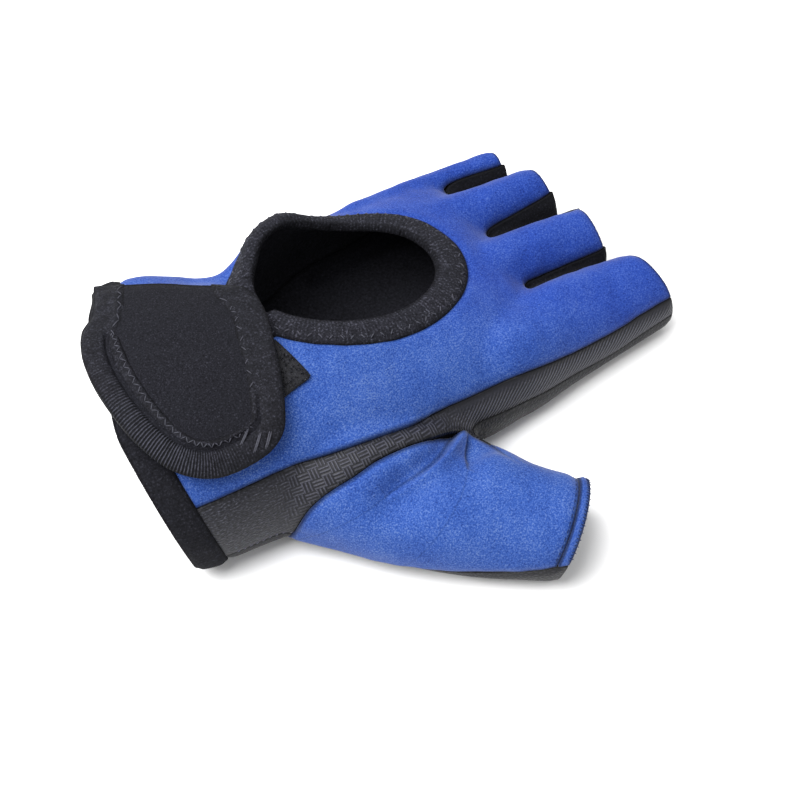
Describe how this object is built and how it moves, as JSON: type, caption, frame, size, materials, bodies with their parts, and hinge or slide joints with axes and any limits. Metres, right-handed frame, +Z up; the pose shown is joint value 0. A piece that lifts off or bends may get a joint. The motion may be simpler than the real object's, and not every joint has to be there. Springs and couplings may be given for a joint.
{
  "type": "fitness glove",
  "caption": "Fingerless fitness glove in blue neoprene with black leather palm, bound keyhole back and wrist strap, lying palm down.",
  "frame": {"origin": "middle of the glove's footprint, on the surface that it lies on", "axes": "+X from the wrist to the fingers, +Y towards the little finger, +Z up from the palm to the back of the hand"},
  "size_m": [0.1514, 0.1242, 0.0472],
  "materials": {
    "blue_neoprene": "heathered royal blue knit face on neoprene, matt",
    "blue_hem": "folded and stitched royal blue hem, matt",
    "embossed_charcoal": "charcoal cloth with an embossed basket weave, satin",
    "black_leather": "black synthetic leather, low sheen",
    "black_stretch": "black stretch knit, matt",
    "black_tape": "ribbed black binding tape, low sheen",
    "black_neoprene": "matt black brushed loop face on neoprene with fine lighter flecks",
    "black_hooks": "black hook tape, bristly"
  },
  "bodies": {
    "root": {"back_panel": "blue_neoprene", "thumb_panel": "blue_neoprene", "thumb_hem": "blue_hem", "side_gusset": "embossed_charcoal", "palm_panel": "black_leather", "fourchette_index_middle": "black_stretch", "fourchette_middle_ring": "black_stretch", "fourchette_ring_little": "black_stretch", "keyhole_binding": "black_tape", "cuff_binding": "black_tape", "strap": "black_neoprene", "strap_binding": "black_tape", "hook_patch": "black_hooks"}
  },
  "joints": []
}
